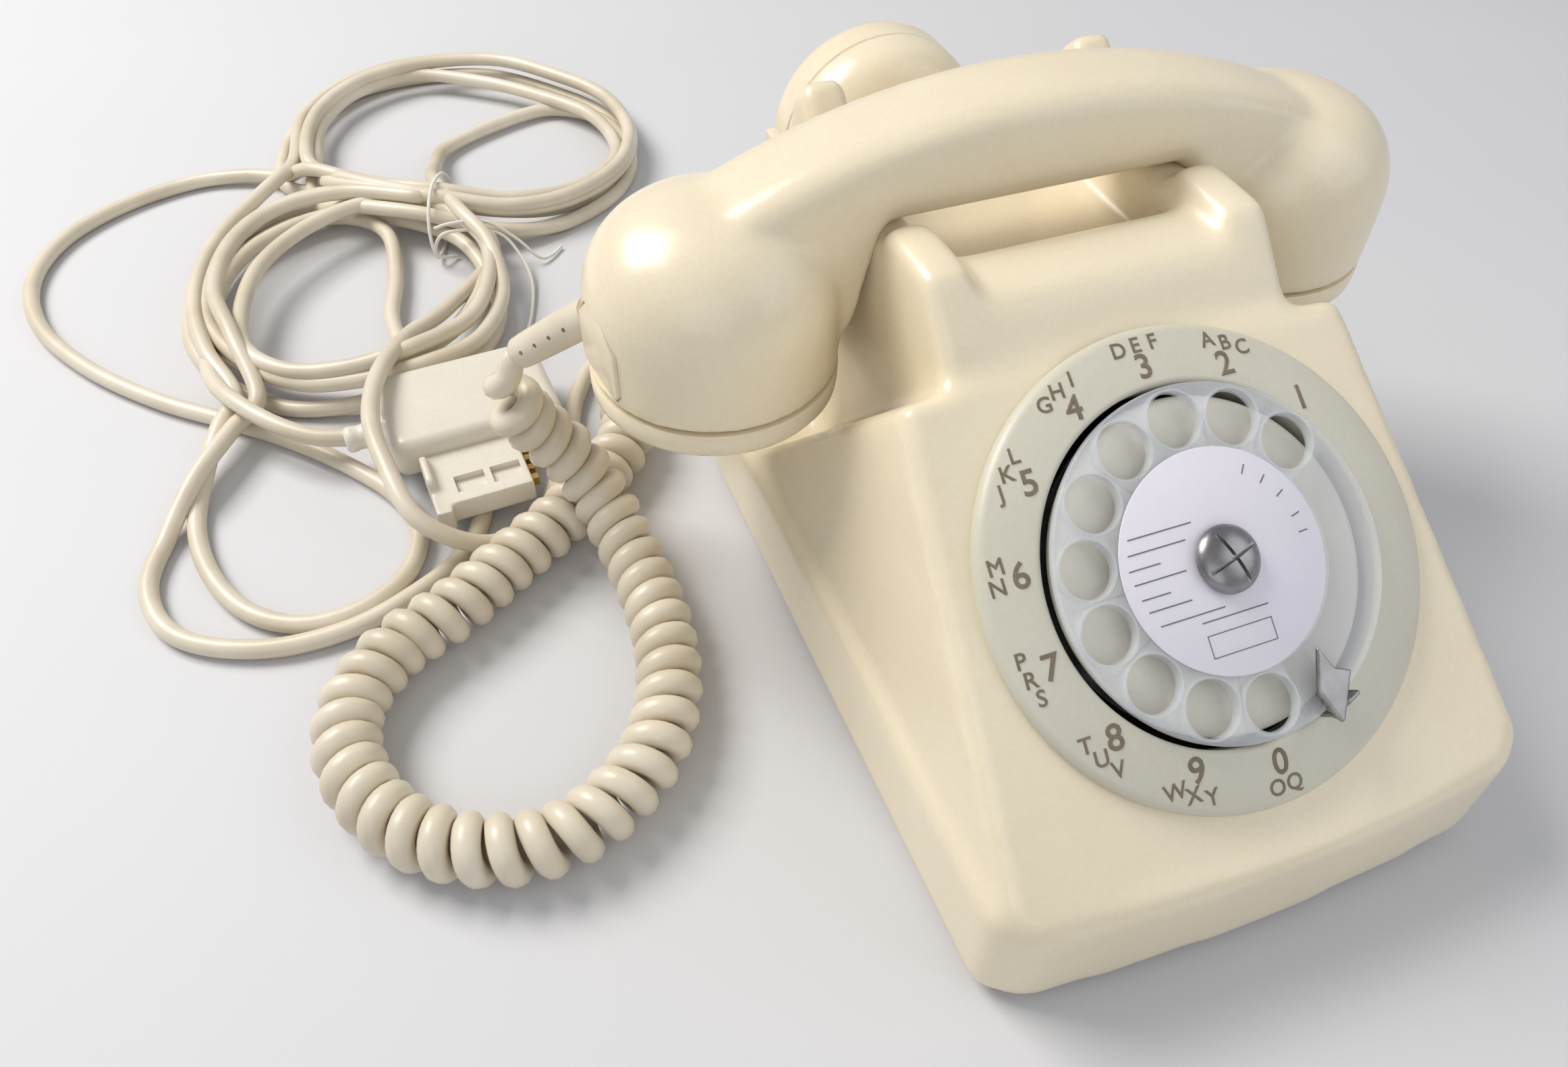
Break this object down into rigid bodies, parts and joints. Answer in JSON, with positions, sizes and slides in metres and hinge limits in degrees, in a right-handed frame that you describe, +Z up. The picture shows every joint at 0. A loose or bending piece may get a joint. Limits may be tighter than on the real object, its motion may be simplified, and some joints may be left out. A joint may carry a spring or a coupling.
{
  "type": "rotary telephone",
  "caption": "Desk telephone with a sloping rotary dial, a lifted handset on a curly cord, an extra listener on its back and a long line cord tied in a bundle.",
  "frame": {"origin": "on the table, under the middle of the telephone without its cords", "axes": "+X to the user's right along the handset, +Y away from the user, +Z up"},
  "size_m": [0.3863, 0.4858, 0.138],
  "materials": {
    "ivory_plastic": "moulded",
    "ring_plastic": "moulded",
    "clear_plastic": "clear",
    "card_paper": "matte",
    "dial_steel": "satin",
    "frame_metal": "cast",
    "brass": "satin",
    "dark_plastic": "moulded",
    "board": "laminate",
    "coil_copper": "wound",
    "foot_rubber": "matte",
    "cord_vinyl": "satin",
    "string": "twisted"
  },
  "bodies": {
    "case": {"case_shell": "ivory_plastic", "base_plate": "dark_plastic", "rubber_feet": "foot_rubber", "base_screws": "dial_steel", "number_ring": "ring_plastic", "dial_plate": "ivory_plastic", "dial_frame": "frame_metal", "dial_bush": "brass", "finger_stop": "dial_steel", "main_spring": "dial_steel", "governor_cup": "dial_steel", "pulse_contacts": "brass", "dial_screws": "dial_steel", "hook_springs": "brass", "circuit_board": "board", "induction_coil": "dark_plastic", "capacitor": "dial_steel", "terminal_block": "dark_plastic", "gongs": "brass", "ringer_coil": "coil_copper", "ringer_core": "dial_steel", "listener_bracket": "ivory_plastic", "cord_glands": "dark_plastic", "curly_cord": "cord_vinyl", "line_cord_lead": "cord_vinyl", "line_cord_wide_loop": "cord_vinyl", "line_cord_small_loop": "cord_vinyl", "line_cord_tail": "cord_vinyl", "cord_bundle": "cord_vinyl", "string_tie": "string", "plug_body": "ivory_plastic", "plug_blade": "ivory_plastic", "plug_contacts": "brass"},
    "dial": {"dial_shaft": "dial_steel", "finger_wheel": "clear_plastic", "number_card": "card_paper", "card_window": "clear_plastic", "centre_screw": "dial_steel", "drive_gear": "brass", "pulse_cam": "dark_plastic"},
    "governor": {"governor": "brass"},
    "hook": {"hook_bar": "ivory_plastic"},
    "clapper": {"clapper": "dial_steel"},
    "handset": {"handset_body": "ivory_plastic", "mouth_cap": "ivory_plastic", "ear_cap": "ivory_plastic", "transmitter_capsule": "dial_steel", "receiver_capsule": "dial_steel", "cord_clamp_plate": "ivory_plastic", "handset_relief": "cord_vinyl"},
    "listener": {"listener_body": "ivory_plastic", "listener_cap": "ivory_plastic", "listener_capsule": "dial_steel"}
  },
  "joints": [
    {"name": "dial_turn", "type": "hinge", "parent": "case", "child": "dial", "pos_m": [0, -0.06785, 0.07153], "axis": [0, -0.5976, 0.8018], "range_deg": [-312, 0], "stiffness_Nm_per_rad": 0.012, "springref_deg": 28.65},
    {"name": "governor_spin", "type": "hinge", "parent": "case", "child": "governor", "pos_m": [-0.02624, -0.04494, 0.06615], "axis": [0, -0.5976, 0.8018], "range_deg": [0, 1250]},
    {"name": "hook_press", "type": "slide", "parent": "case", "child": "hook", "axis": [0, 0, 1], "range_m": [0, 0.004]},
    {"name": "clapper_swing", "type": "hinge", "parent": "case", "child": "clapper", "pos_m": [0, 0.0418, 0.0274], "axis": [0, 0, 1], "range_deg": [-4.5, 4.5], "stiffness_Nm_per_rad": 0.0005},
    {"name": "handset_lift", "type": "slide", "parent": "case", "child": "handset", "axis": [0, 0, 1], "range_m": [0, 0.08]},
    {"name": "listener_lift", "type": "slide", "parent": "case", "child": "listener", "axis": [0, 0, 1], "range_m": [0, 0.05]}
  ],
  "couplings": [
    {"joint": "governor_spin", "follows": "dial_turn", "ratio": -4},
    {"joint": "hook_press", "follows": "handset_lift", "ratio": 0.05}
  ]
}
